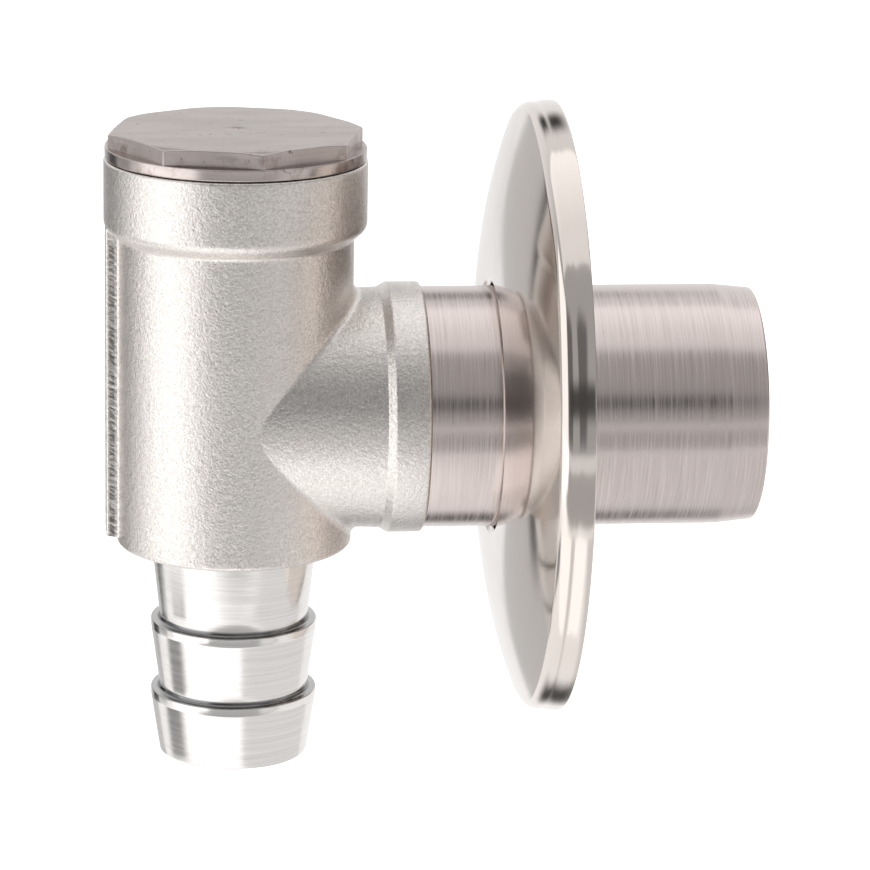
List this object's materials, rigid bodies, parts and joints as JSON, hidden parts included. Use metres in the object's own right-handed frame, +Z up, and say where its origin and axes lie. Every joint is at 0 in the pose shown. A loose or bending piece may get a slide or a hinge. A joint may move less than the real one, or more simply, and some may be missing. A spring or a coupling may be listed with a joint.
{
  "type": "washing machine waste valve",
  "caption": "Angled stainless check valve for a washing machine's drain hose: barbed inlet below, screwed cleaning cap, ball check inside, outlet pipe with wall rosette.",
  "frame": {"origin": "on the outlet pipe's axis, in the plane of the finished wall where the rosette's rim stands", "axes": "+X along the outlet pipe into the wall, +Z up the valve's barrel to the screw cap, the hose tail pointing down"},
  "size_m": [0.0861, 0.0822, 0.0881],
  "materials": {
    "cast_steel": "fine bead-blasted stainless casting",
    "cap_steel": "ground stainless, warm grey",
    "turned_steel": "bright turned stainless",
    "pipe_steel": "stainless brushed round the pipe",
    "polished_steel": "mirror-polished stainless sheet",
    "seal_rubber": "matt black EPDM",
    "ball_rubber": "smooth black rubber",
    "white_plastic": "moulded acetal",
    "core_plastic": "plain moulded core"
  },
  "bodies": {
    "valve": {"valve_body": "cast_steel", "hose_tail": "turned_steel", "hose_tail_seal": "seal_rubber", "outlet_pipe": "pipe_steel", "outlet_seal": "seal_rubber", "seat_ring": "turned_steel", "seat_ring_seal": "seal_rubber", "ball_cage": "white_plastic"},
    "ball": {"ball_core": "core_plastic", "ball_coat": "ball_rubber"},
    "cap_ring": {"cap_seal": "seal_rubber"},
    "cap": {"screw_cap": "cap_steel"},
    "grip_ring": {"rosette_grip_ring": "seal_rubber"},
    "rosette": {"rosette": "polished_steel"}
  },
  "joints": [
    {"name": "ball_lift", "type": "slide", "parent": "valve", "child": "ball", "axis": [0, 0, 1], "range_m": [0, 0.0236]},
    {"name": "cap_lift", "type": "slide", "parent": "valve", "child": "cap_ring", "axis": [0, 0, 1], "range_m": [0, 0.006]},
    {"name": "cap_turn", "type": "hinge", "parent": "cap_ring", "child": "cap", "pos_m": [-0.0424, 0, 0.0338], "axis": [0, 0, 1], "range_deg": [0, 1440]},
    {"name": "rosette_slide", "type": "slide", "parent": "valve", "child": "grip_ring", "axis": [1, 0, 0], "range_m": [-0.0092, 0.024]},
    {"name": "rosette_turn", "type": "hinge", "parent": "grip_ring", "child": "rosette", "pos_m": [0, 0, 0], "axis": [1, 0, 0], "continuous": true}
  ],
  "couplings": [
    {"joint": "cap_lift", "follows": "cap_turn", "m_per_rad": 0.00023873}
  ]
}
